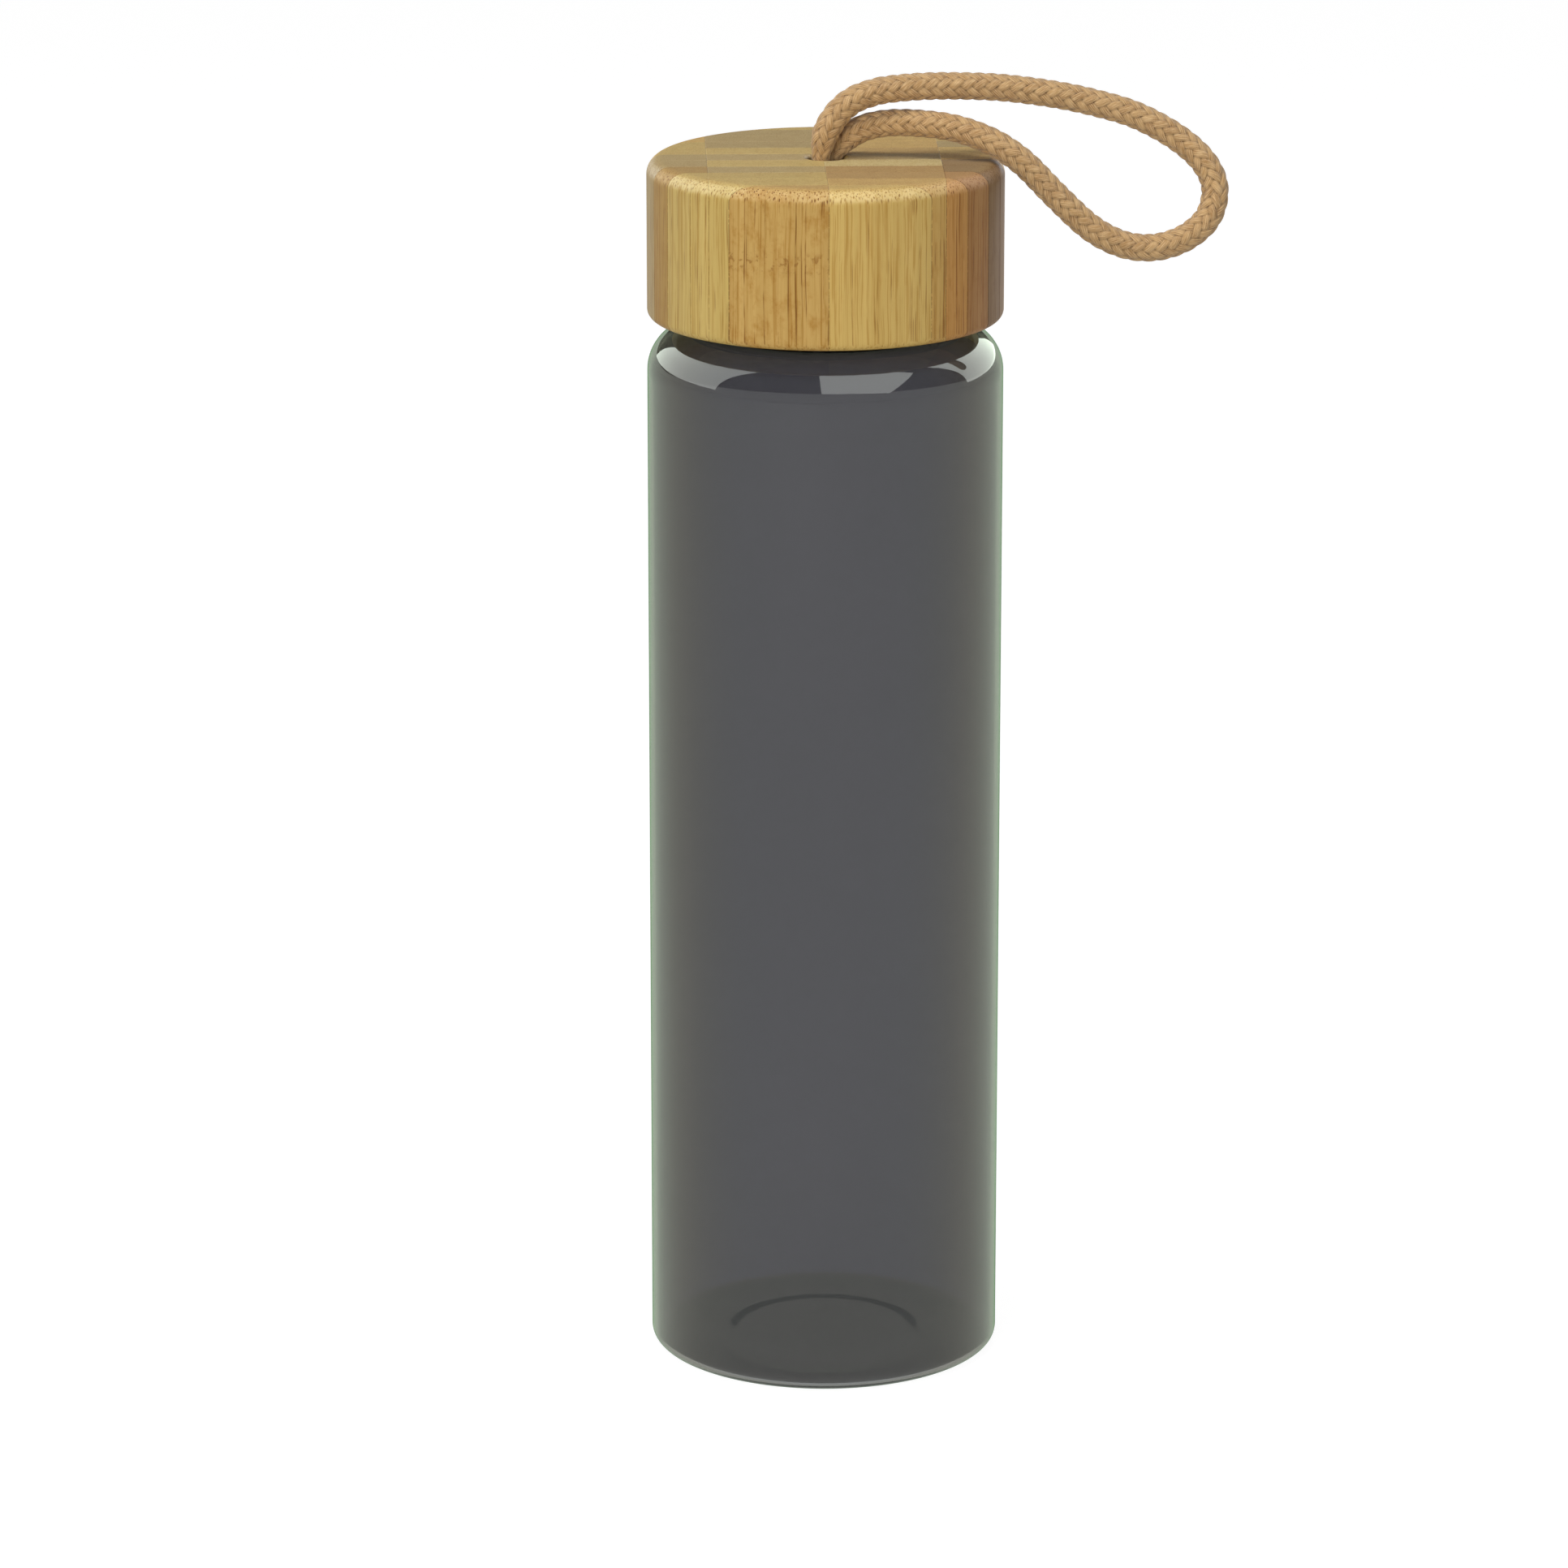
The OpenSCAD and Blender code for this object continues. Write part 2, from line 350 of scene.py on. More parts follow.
CARRIERS = 8                 # strands that wind each way; each passes over two and under two
BRAID_PITCH = 0.018          # length in which a strand goes once round
YARNS = 4                    # yarns side by side in a strand
BRAID_BASE = 0.00206         # radius at the bottom of the crevices
BRAID_RISE = 0.00024         # how far a strand rises over the ones that it crosses
BRAID_CROWN = 0.00018        # how far a strand's middle stands above its sides
YARN_RISE = 0.00005
END_CONE = 0.0003            # how far the closed end of a cord stands out


def smooth_line(points, step):
    """Points at equal steps along a smooth curve through the given ones."""
    p = np.array(points, float)
    p = np.vstack([2 * p[0] - p[1], p, 2 * p[-1] - p[-2]])
    fine = []
    for i in range(1, len(p) - 2):
        t = np.linspace(0, 1, 24, endpoint=False)[:, None]
        a, b, c, d = p[i - 1], p[i], p[i + 1], p[i + 2]
        fine.append(0.5 * (2 * b + (c - a) * t + (2 * a - 5 * b + 4 * c - d) * t**2
                           + (3 * b - a - 3 * c + d) * t**3))
    fine = np.vstack(fine + [p[-2:-1]])
    along = np.concatenate([[0], np.cumsum(np.linalg.norm(np.diff(fine, axis=0), axis=1))])
    count = int(along[-1] / step) + 1
    want = np.linspace(0, along[-1], count)
    return np.stack([np.interp(want, along, fine[:, k]) for k in range(3)], axis=1), want


def carried_frames(line):
    """Directions, and two sides at right angles to each, carried along a line without twist."""
    ahead = np.gradient(line, axis=0)
    ahead /= np.linalg.norm(ahead, axis=1)[:, None]
    side = np.zeros_like(ahead)
    s = np.array([1.0, 0, 0])
    for i, t in enumerate(ahead):
        s = s - (s @ t) * t
        s /= np.linalg.norm(s)
        side[i] = s
    return ahead, side, np.cross(ahead, side)


def braid_height(along, turn):
    """Radius of a braid of two sets of flat strands, each strand over two and under two. Also gives, for
    each point, its place across the strand, the strand's number and how high up the point lies."""
    u = CARRIERS * (turn / (2 * math.pi) - along / BRAID_PITCH)
    v = CARRIERS * (turn / (2 * math.pi) + along / BRAID_PITCH)

    def strand(across, other, sign):
        number = np.floor(across)
        f = across - number
        phase = (number + other) % 4
        wave = sign * np.sin(math.pi * phase / 2)
        rise = np.sign(wave) * np.abs(wave) ** 0.7
        crown = 1 - np.abs(2 * f - 1) ** 3
        yarn = np.abs(np.sin(YARNS * math.pi * f))
        return BRAID_RISE * rise + BRAID_CROWN * crown + YARN_RISE * yarn, f, number

    ha, fa, na = strand(u, v, 1)
    hb, fb, nb = strand(v, u, -1)
    top = ha > hb
    height = np.where(top, ha, hb)
    across = np.where(top, fa, fb)
    number = np.where(top, na % CARRIERS, CARRIERS + nb % CARRIERS)
    return BRAID_BASE + height, across, number, height / (BRAID_RISE + BRAID_CROWN + YARN_RISE)


def braided_tube(name, line, along, sides, gauge=1.0):
    """A closed tube of braid along a line. gauge scales its thickness, at each point or all along."""
    ahead, side, up = carried_frames(line)
    turn = np.linspace(0, 2 * math.pi, sides, endpoint=False)
    radius, across, number, high = braid_height(along[:, None], turn[None, :])
    radius = radius * np.broadcast_to(gauge, along.shape)[:, None]
    out = (np.cos(turn)[None, :, None] * side[:, None, :]
           + np.sin(turn)[None, :, None] * up[:, None, :])
    verts = (line[:, None, :] + radius[:, :, None] * out).reshape(-1, 3)
    rings = len(line)
    i, k = np.meshgrid(np.arange(rings - 1), np.arange(sides), indexing="ij")
    m = (k + 1) % sides
    faces = np.stack([i * sides + k, i * sides + m, (i + 1) * sides + m, (i + 1) * sides + k], axis=2)
    faces = [tuple(f) for f in faces.reshape(-1, 4).tolist()]
    ends = [line[0] - ahead[0] * END_CONE, line[-1] + ahead[-1] * END_CONE]
    verts = np.vstack([verts, ends])
    first, last = len(verts) - 2, len(verts) - 1
    faces += [(first, (k + 1) % sides, k) for k in range(sides)]
    base = (rings - 1) * sides
    faces += [(last, base + k, base + (k + 1) % sides) for k in range(sides)]
    mesh = mesh_from(name, verts, faces)
    for polygon in mesh.polygons:
        polygon.use_smooth = True
    pad = [0, 0]
    float_attribute(mesh, "high", np.concatenate([high.ravel(), pad]))
    yarn = np.abs(np.sin(YARNS * math.pi * across))
    float_attribute(mesh, "yarn", np.concatenate([yarn.ravel(), pad]))
    strand_tones = np.random.default_rng(11).random(2 * CARRIERS)
    tone = strand_tones[number.astype(int)]
    float_attribute(mesh, "tone", np.concatenate([tone.ravel(), pad]))
    run = np.broadcast_to(along[:, None], across.shape)
    grain = np.stack([across * 1.5, run * 1000, number * 7.0], axis=2).reshape(-1, 3)
    vector_attribute(mesh, "grain", np.vstack([grain, np.zeros((2, 3))]))
    return mesh


YARN_TONES = (srgb(176, 138, 88), srgb(190, 153, 104))
YARN_DARK = srgb(162, 124, 78)
YARN_WORN = srgb(212, 180, 134)
# Painted shade for the grooves between yarns, and for the crevices between strands
YARN_GROOVE_SHADE = srgb(118, 80, 48)
BRAID_CREVICE_SHADE = srgb(78, 50, 30)


def cord_material():
    """Beige yarns, with pale worn fibres on top, and painted shade: darker in the grooves between the yarns
    and in the crevices between the strands.
    """
    n = material_nodes("cord_yarn")
    grain = n.attribute("grain", "Vector")
    fibre = n.noise(n.vector("MULTIPLY", grain, (6.0, 0.7, 1.0)), 1.0, 3.0, 0.6)
    patch = n.noise(n.place(), 0.35, 2.0)
    light = n.mix(n.step(patch, 0.3, 0.7), *YARN_TONES)
    tone = n.mix(n.attribute("tone"), light, YARN_DARK)
    worn = n.mix(n.step(fibre, 0.35, 0.75), tone, YARN_WORN)
    # Painted shade: darker where the yarns part and deep in the crevices, by the braid's own height
    groove_shaded = n.mix(n.step(n.attribute("yarn"), 0.0, 0.55), YARN_GROOVE_SHADE, worn)
    color = n.mix(n.step(n.attribute("high"), -0.1, 0.75), BRAID_CREVICE_SHADE, groove_shaded)
    n.bump(n.maths("ADD", fibre, n.noise(n.place(), 9.0, 2.0)), 0.00009, 0.9)
    return n.set(Base_Color=color, Roughness=0.86, Sheen_Weight=0.2, Sheen_Roughness=0.4,
                 Specular_IOR_Level=0.25)


def make_cord(material):
    """The carry loop: one smooth curve from the knot, out of the hole, round and back to the knot."""
    route = [Vector((x, y, z)) / 1000 + Vector((0, 0, LID_TOP)) for x, y, z in CORD_ROUTE]
    line, along = smooth_line(route, 0.0002)
    from_end = np.minimum(along, along[-1] - along)
    freed = np.clip((from_end - CORD_PRESSED) / CORD_SWELLS, 0, 1)
    gauge = CORD_SQUEEZE + (1 - CORD_SQUEEZE) * freed * freed * (3 - 2 * freed)
    mesh = braided_tube("cord_loop_braid", line, along, 96, gauge)
    mesh.materials.append(material)
    cord = new_object("carry_cord", mesh, "lid")
    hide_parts("cord_loop")
    return cord, line, float(along[-1])


def make_knot(material):
    """Both ends of the cord tied in one flat overhand knot that fills the pocket."""
    middle = (KNOT_LOW.z + KNOT_HIGH.z) / 2
    ring, wave, rise, gauge = 0.0042, 0.0022, 0.0018, 0.85
    t = np.linspace(math.radians(35), math.radians(325), 90)
    reach = ring + wave * np.cos(3 * t)
    loop = np.stack([reach * np.cos(2 * t), reach * np.sin(2 * t), middle + rise * np.sin(3 * t)],
                    axis=1)
    line, along = smooth_line(loop, 0.0003)
    mesh = braided_tube("cord_knot_braid", line, along, 64, gauge)
    mesh.materials.append(material)
    knot = new_object("knotted_ends", mesh, "lid")
    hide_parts("cord_knot")
    return knot


# ---------------------------------------------------------------- glass bottle

def helix_ridge(start_turn, start_z, height, half):
    """Radius added by a rounded screw ridge that fades out at both ends."""
    sweep = THREAD_TURNS * 2 * math.pi

    def shift(z, turn):
        found = np.zeros(np.broadcast(z, turn).shape)
        for lap in range(3):
            a = (turn - start_turn) % (2 * math.pi) + 2 * math.pi * lap
            fade = np.clip(np.minimum(a, sweep - a) / THREAD_TAPER, 0, 1)
            off = np.abs(z - (start_z + PITCH * a / (2 * math.pi))) / half
            ridge = np.clip(1.25 * (1 - off**2), 0, 1) * (off < 1)
            found = np.maximum(found, height * fade * fade * (3 - 2 * fade) * ridge)
        return found

    return shift


def glass_section():
    """Half section of the bottle, from the hollow under its base, over the rim and down inside."""
    neck_low = SHOULDER_Z + NECK_FILLET
    neck_top = RIM_Z - (NECK_R - MOUTH_R) / 2
    rows = 72
    neck = [(NECK_R, neck_low + (neck_top - neck_low) * i / rows) for i in range(1, rows)]
    rim_r = (NECK_R - MOUTH_R) / 2
    return supported(
        [(0, PUNT_H)]
        + swell(PUNT_R - PUNT_SLOPE, PUNT_H, PUNT_R, 0, 14)
        + arc(BODY_R - HEEL_R, HEEL_R, HEEL_R, -90, 0, 20)
        + arc(SHOULDER_X, SIDE_Z, SHOULDER_R, 0, 90, 40)
        + arc(NECK_R + NECK_FILLET, neck_low, NECK_FILLET, 270, 180, 10)
        + neck
        + arc(NECK_R - rim_r, neck_top, rim_r, 0, 180, 16)
        + arc(MOUTH_R + NECK_FILLET, SHOULDER_Z - WALL + NECK_FILLET, NECK_FILLET, 180, 270, 10)
        + arc(SHOULDER_X - WALL, SIDE_Z - WALL, SHOULDER_R, 90, 0, 40)
        + arc(BODY_R - HEEL_R, HEEL_R, HEEL_R - WALL, 0, -90, 20)
        + swell(BODY_R - HEEL_R - HEEL_STEP, WALL, FLOOR_R, FLOOR, 20)
        + [(0, FLOOR)]
    )


# Colours of the glass, from where it is seen straight on to where it is seen at a slant
GLASS_GREYS = ((0.260, 0.240, 0.282, 1), (0.252, 0.234, 0.274, 1))
GLASS_BROWN = (0.284, 0.220, 0.200, 1)
GLASS_OLIVE = (0.240, 0.188, 0.150, 1)
GLASS_FILM = (0.915, 0.945, 0.91, 1)


def glass_material():
    """Smoky glass: the outermost film takes more light the flatter it is seen, which greens its edges."""
    n = material_nodes("smoky_glass")
    breath = n.noise(n.vector("MULTIPLY", n.place(), (0.05, 0.05, 0.015)), 1.0, 2.0)
    grey = n.mix(n.step(breath, 0.3, 0.7), *GLASS_GREYS)
    facing = n.node("ShaderNodeLayerWeight")
    facing.inputs["Blend"].default_value = 0.5
    slant = facing.outputs["Facing"]
    tint = n.mix(n.step(slant, 0.12, 0.55), grey, GLASS_BROWN)
    tint = n.mix(n.step(slant, 0.50, 0.78), tint, GLASS_OLIVE)
    return n.set(Base_Color=tint, Roughness=0.0, IOR=1.5, Transmission_Weight=1.0,
                 Coat_Weight=1.0, Coat_Roughness=0.0, Coat_IOR=1.0, Coat_Tint=GLASS_FILM)


def make_glass():
    """The bottle in one piece, with its thread raised on the straight part of the neck."""
    ridge = helix_ridge(0, THREAD_Z, THREAD_H, THREAD_HALF)

    def shift(r, z, turn):
        return np.where((np.abs(r - NECK_R) < SAME_RADIUS) & (z > SHOULDER_Z), ridge(z, turn), 0)

    mesh = lathe("bottle_glass", glass_section(), 256, shift)
    mesh.materials.append(glass_material())
    glass = new_object("bottle_glass", mesh, "bottle")
    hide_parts("glass_bottle")


# ---------------------------------------------------------------- bamboo lid

def lid_section():
    """Half section of the whole turned lid, closed on itself."""
    return supported(
        [(INSERT_R, LID_BOTTOM)]
        + arc(BODY_R - LID_BOTTOM_R, LID_BOTTOM + LID_BOTTOM_R, LID_BOTTOM_R, -90, 0, 9)
        + arc(BODY_R - LID_TOP_R, LID_TOP - LID_TOP_R, LID_TOP_R, 0, 90, 14)
        + arc(HOLE_R + HOLE_EDGE_R, LID_TOP - HOLE_EDGE_R, HOLE_EDGE_R, 90, 180, 8)
        + [(HOLE_R, POCKET_Z), (POCKET_R, POCKET_Z)]
        + [(POCKET_R, INSERT_HIGH.z), (INSERT_R, INSERT_HIGH.z)]
    )


def lid_normal(r, z):
    """Outward direction (radial, upward) at a point of the lid's outer face, or None inside it."""
    if abs(z - LID_BOTTOM) < ON_FACE:
        return (0, -1)
    if abs(z - LID_TOP) < ON_FACE:
        return (0, 1)
    for x, c, radius, sign in ((BODY_R - LID_TOP_R, LID_TOP - LID_TOP_R, LID_TOP_R, 1),
                               (BODY_R - LID_BOTTOM_R, LID_BOTTOM + LID_BOTTOM_R, LID_BOTTOM_R, -1)):
        if r > x and sign * (z - c) > 0:
            length = math.hypot(r - x, z - c)
            return ((r - x) / length, (z - c) / length) if length > 0.9 * radius else None
    return (1, 0) if r > BODY_R - 0.0002 else None


def strip_planes(column, row):
    """The four upright planes of a strip, as a point and an outward direction."""
    x = (column - MIDDLE_COLUMN) * STRIP_W + COLUMN_SHIFT
    y = (row - MIDDLE_ROW - 0.5) * STRIP_T
    c, s = math.cos(STRIP_TURN), math.sin(STRIP_TURN)

    def turned(a, b):
        return Vector((a * c - b * s, a * s + b * c, 0))

    return [(turned(x, 0), turned(-1, 0)), (turned(x + STRIP_W, 0), turned(1, 0)),
            (turned(0, y), turned(0, -1)), (turned(0, y + STRIP_T), turned(0, 1))]


def cut_strip(blank, column, row):
    """The part of the lid that lies in one strip, with a fine groove along its glue lines."""
    bm = blank.copy()
    planes = strip_planes(column, row)
    for point, out in planes:
        everything = bm.verts[:] + bm.edges[:] + bm.faces[:]
        cut = bmesh.ops.bisect_plane(bm, geom=everything, dist=MERGE, plane_co=point, plane_no=out,
                                     clear_outer=True)
        rim = [e for e in cut["geom_cut"] if isinstance(e, bmesh.types.BMEdge) and e.is_boundary]
        if rim:
            bmesh.ops.holes_fill(bm, edges=rim, sides=0)
    for point, out in planes:
        everything = bm.verts[:] + bm.edges[:] + bm.faces[:]
        bmesh.ops.bisect_plane(bm, geom=everything, dist=MERGE, plane_co=point - out * GLUE_HALF,
                               plane_no=out)
    glued = []
    for v in bm.verts:
        near = any(abs((v.co - point) @ out) < ON_FACE for point, out in planes)
        glued.append(1.0 if near else 0.0)
        r = math.hypot(v.co.x, v.co.y)
        normal = lid_normal(r, v.co.z) if near else None
        if normal is not None:
            v.co.x -= v.co.x / r * normal[0] * GLUE_DEPTH
            v.co.y -= v.co.y / r * normal[0] * GLUE_DEPTH
            v.co.z -= normal[1] * GLUE_DEPTH
    bmesh.ops.recalc_face_normals(bm, faces=bm.faces)
    smooth_by_angle(bm, CUT_EDGE)
    return bm, glued


TONES = {
    "straw": srgb(194, 168, 100), "honey": srgb(202, 171, 100), "amber": srgb(191, 156, 90),
    "gold": srgb(200, 165, 94), "tan": srgb(168, 133, 78), "rust": srgb(188, 140, 76),
    "olive": srgb(172, 150, 102), "umber": srgb(166, 122, 70), "smoke": srgb(130, 101, 64),
    "cream": srgb(199, 181, 126), "copper": srgb(168, 134, 70), "ash": srgb(168, 146, 98),
}
COMMON_TONES = ("straw", "honey", "olive", "gold", "tan", "amber")
SEED_STEP = 0.618        # sets the grain of each strip apart from its neighbours'
# Strips with a colour of their own, by column and row, and how much of the cane's dark skin each shows
STRIP_LOOK = {
    (2, 1): ("amber", 1.0), (3, 1): ("honey", 0.15), (2, 2): ("straw", 0.1), (1, 2): ("straw", 0.15),
    (1, 3): ("straw", 0.1), (1, 4): ("copper", 0.4), (1, 5): ("olive", 0.2), (1, 6): ("olive", 0.1),
    (3, 2): ("amber", 0.4), (4, 2): ("rust", 0.5), (4, 3): ("umber", 0.5), (4, 4): ("smoke", 0.6),
    (4, 5): ("smoke", 0.4), (3, 3): ("tan", 0.3), (3, 4): ("tan", 0.4), (3, 5): ("cream", 0.1),
    (2, 3): ("straw", 0.1), (2, 4): ("olive", 0.1), (2, 5): ("straw", 0.0), (2, 6): ("olive", 0.1),
    (2, 7): ("straw", 0.1), (2, 8): ("ash", 0.1), (2, 9): ("ash", 0.1), (2, 10): ("ash", 0.2),
    (3, 6): ("olive", 0.2), (4, 6): ("gold", 0.3),
}


def strip_look(column, row):
    """Colour of a strip, and how much skin it shows. A strip out of sight gets one of the common tones."""
    rng = np.random.default_rng(100 * column + row)
    name = COMMON_TONES[rng.integers(len(COMMON_TONES))]
    name, skin = STRIP_LOOK.get((column, row), (name, rng.random() * 0.6))
    return np.array(TONES[name]) * (0.96 + 0.08 * rng.random()), skin


# Tints that darken the wood, as the share of red, green and blue that is left
BAND_TINT = (0.90, 0.87, 0.80)
MOTTLE_TINT = (0.80, 0.68, 0.50)
LINE_TINT = (0.80, 0.70, 0.54)
HAIR_TINT = (0.86, 0.80, 0.70)
BUNDLE_TINT = (0.50, 0.36, 0.26)
DOT_TINT = (0.7, 0.6, 0.5)
PORE_TINT = (0.52, 0.36, 0.24)
GLUE_TINT = (0.22, 0.16, 0.12)
SCAR_TINT = (0.60, 0.46, 0.34)
FILLET_HIGHLIGHT_TINT = (1.16, 1.27, 1.75)       # painted highlight: the rounded top edge is made paler instead
SCAR_BAND_Z = 212.9                  # millimetres, like all coordinates inside the material


def bamboo_fibre_place(n, where, seed):
    """Coordinates that run up the lid and wander a little, so that the side cuts fibres into dashes."""
    slow = n.vector("MULTIPLY", where, (0.12, 0.12, 0.07))
    seeded = n.vector("ADD", slow, n.vector("SCALE", (1, 1, 1), n.maths("MULTIPLY", seed, 37.0)))
    drift = n.vector("SUBTRACT", n.noise(seeded, 1.0, 2.0, 0.5, True), (0.5, 0.5, 0.5))
    wander = n.vector("MULTIPLY", drift, (0.7, 0.7, 0))
    flat = n.vector("MULTIPLY", n.vector("ADD", where, wander), (1, 1, 0.010))
    return n.vector("ADD", flat, n.vector("SCALE", (1, 1, 1), n.maths("MULTIPLY", seed, 50.0)))


def bamboo_bundles(n, fibres):
    """The cane's bundles: dots on the top and thin streaks down the side."""
    cells = n.node("ShaderNodeTexVoronoi", voronoi_dimensions="2D")
    n.put(fibres, cells.inputs["Vector"])
    cells.inputs["Scale"].default_value = 1.6
    cells.inputs["Randomness"].default_value = 0.8
    return n.maths("SUBTRACT", 1.0, n.step(cells.outputs["Distance"], 0.08, 0.26))


def between(n, value, low, high):
    """1 between two soft steps, each given by its start and end, and 0 outside them."""
    return n.maths("MULTIPLY", n.step(value, *low), n.maths("SUBTRACT", 1.0, n.step(value, *high)))


def node_scars(n, where, skin):
    """Scars of a cane's node across the skin strip: uneven pits, close together in a band."""
    part = n.node("ShaderNodeSeparateXYZ")
    n.put(where, part.inputs[0])
    height = part.outputs[2]
    front = n.node("ShaderNodeCombineXYZ")
    n.put(n.maths("MULTIPLY", part.outputs[0], 0.75), front.inputs[0])
    n.put(n.maths("MULTIPLY", height, 0.6), front.inputs[1])
    pits = n.noise(front.outputs[0], 1.0, 3.0, 0.6)
    level = n.maths("ABSOLUTE", n.maths("SUBTRACT", height, SCAR_BAND_Z))
    in_band = n.maths("SUBTRACT", 1.0, n.step(level, 0.6, 2.4))
    pitted = n.maths("MULTIPLY", n.step(pits, 0.53, 0.61), in_band)
    return n.maths("MULTIPLY", pitted, n.step(skin, 0.8, 0.95))


def bamboo_material():
    """Bamboo whose tone, skin, glue lines and end grain each strip's mesh gives by its attributes."""
    n = material_nodes("bamboo")
    where = n.place()
    wood = n.attribute("wood", "Color")
    skin = n.attribute("skin")
    end = n.attribute("endgrain")
    fibres = bamboo_fibre_place(n, where, n.attribute("seed"))
    dots = bamboo_bundles(n, fibres)
    lines = n.noise(fibres, 3.1, 2.0, 0.6)
    hairs = n.noise(fibres, 7.0, 2.0, 0.6)
    bands = n.noise(fibres, 0.5, 2.0, 0.5)
    breaks = n.noise(n.vector("MULTIPLY", where, (0.9, 0.9, 0.13)), 1.0, 2.0)
    dashes = n.maths("MULTIPLY", dots, n.step(breaks, 0.40, 0.60))
    mottle = n.noise(n.vector("MULTIPLY", where, (0.45, 0.45, 0.30)), 1.0, 4.0, 0.65)

    toned = n.shade(n.step(bands, 0.3, 0.7), BAND_TINT, wood)
    toned = n.shade(n.maths("MULTIPLY", n.step(mottle, 0.45, 0.75), skin), MOTTLE_TINT, toned)
    lined = n.shade(n.step(lines, 0.50, 0.64), LINE_TINT, toned)
    haired = n.shade(n.maths("MULTIPLY", n.step(hairs, 0.50, 0.70), 0.45), HAIR_TINT, lined)
    depth = n.maths("MULTIPLY_ADD", skin, 0.35, 0.65)
    side = n.shade(n.maths("MULTIPLY", dashes, depth), BUNDLE_TINT, haired)

    # End grain is greyer, and the grey mixed into the top is partly end grain and partly a painted sheen
    # from the light above; its dots show best round the edge
    speckle = n.noise(where, 3.2, 3.0, 0.65)
    grey = n.mix(n.step(speckle, 0.3, 0.7), srgb(190, 172, 136), srgb(164, 146, 112))
    # Painted sheen, in part: a quarter grey mixed into the top
    top_end_grain_and_sheen = n.mix(0.25, n.shade(n.maths("MULTIPLY", dots, 0.35), DOT_TINT, haired), grey)
    # Painted highlight: the middle of the rounded top edge is lightened, where light from above catches it
    fillet_highlighted = n.shade(between(n, end, (0.1, 0.45), (0.75, 0.96)), FILLET_HIGHLIGHT_TINT, side)
    face = n.mix(n.step(end, 0.80, 0.99), fillet_highlighted, top_end_grain_and_sheen)
    edge_dots = n.maths("MULTIPLY", between(n, end, (0.12, 0.35), (0.85, 0.99)), dots)
    pored = n.maths("MULTIPLY", edge_dots, n.maths("MULTIPLY_ADD", skin, 0.5, 0.45))
    pores = n.shade(pored, PORE_TINT, face)

    # Glue lines are broken, and darker in the skin; the scars lie over everything
    broken = n.step(n.noise(where, 1.6, 2.0), 0.35, 0.5)
    dark = n.maths("MULTIPLY", n.maths("MULTIPLY_ADD", skin, 0.6, 0.35), broken)
    glued = n.maths("MULTIPLY", n.step(n.attribute("glue"), 0.2, 0.9), dark)
    color = n.shade(glued, GLUE_TINT, pores)
    scar = node_scars(n, where, skin)
    marked = n.shade(n.maths("MULTIPLY", scar, 0.75), SCAR_TINT, color)

    relief = n.maths("SUBTRACT", n.maths("MULTIPLY", lines, 0.35), n.maths("MULTIPLY", dashes, 0.6))
    relief = n.maths("SUBTRACT", relief, n.maths("MULTIPLY", scar, 1.2))
    n.bump(relief, 0.00005, 0.7)
    rough = n.maths("MULTIPLY_ADD", lines, 0.2, 0.42)
    return n.set(Base_Color=marked, Roughness=rough, Specular_IOR_Level=0.15)


def facing_up(v):
    """How much the lid's outer face looks up at a vertex: 0 on the side and 1 on the top."""
    normal = lid_normal(math.hypot(v.co.x, v.co.y), round(v.co.z, 6))
    return max(0, normal[1]) if normal else 0


def make_lid():
    """One piece for each glued strip, cut from the same turned blank."""
    blank = bmesh.new()
    blank.from_mesh(lathe("lid_blank", lid_section(), 240))
    material = bamboo_material()
    strips = sorted(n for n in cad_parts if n.startswith("bamboo_strip_"))
    for order, node in enumerate(strips):
        column, row = (int(part) for part in node.split("_")[2:])
        bm, glued = cut_strip(blank, column, row)
        mesh = bpy.data.meshes.new(node + "_wood")
        bm.to_mesh(mesh)
        bm.free()
        tone, skin = strip_look(column, row)
        count = len(mesh.vertices)
        wood = mesh.attributes.new("wood", "FLOAT_COLOR", "POINT")
        wood.data.foreach_set("color", np.tile(tone, count))
        float_attribute(mesh, "skin", np.full(count, skin))
        float_attribute(mesh, "seed", np.full(count, (order * SEED_STEP) % 1))
        float_attribute(mesh, "glue", glued)
        float_attribute(mesh, "endgrain", [facing_up(v) for v in mesh.vertices])
        mesh.materials.append(material)
        piece = new_object(node.replace("bamboo_", "cane_"), mesh, "lid")
        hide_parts(node)
    blank.free()


# ---------------------------------------------------------------- insert and seal

PLASTIC_BLACKS = ((0.022, 0.022, 0.024, 1), (0.030, 0.030, 0.032, 1))
SILICONE_GREYS = ((0.62, 0.63, 0.62, 1), (0.72, 0.73, 0.71, 1))


def plastic_material():
    n = material_nodes("insert_plastic")
    grain = n.noise(n.place(), 6.0, 3.0, 0.6)
    color = n.mix(n.step(grain, 0.3, 0.7), *PLASTIC_BLACKS)
    n.bump(grain, 0.00003, 0.4)
    return n.set(Base_Color=color, Roughness=n.maths("MULTIPLY_ADD", grain, 0.15, 0.28))


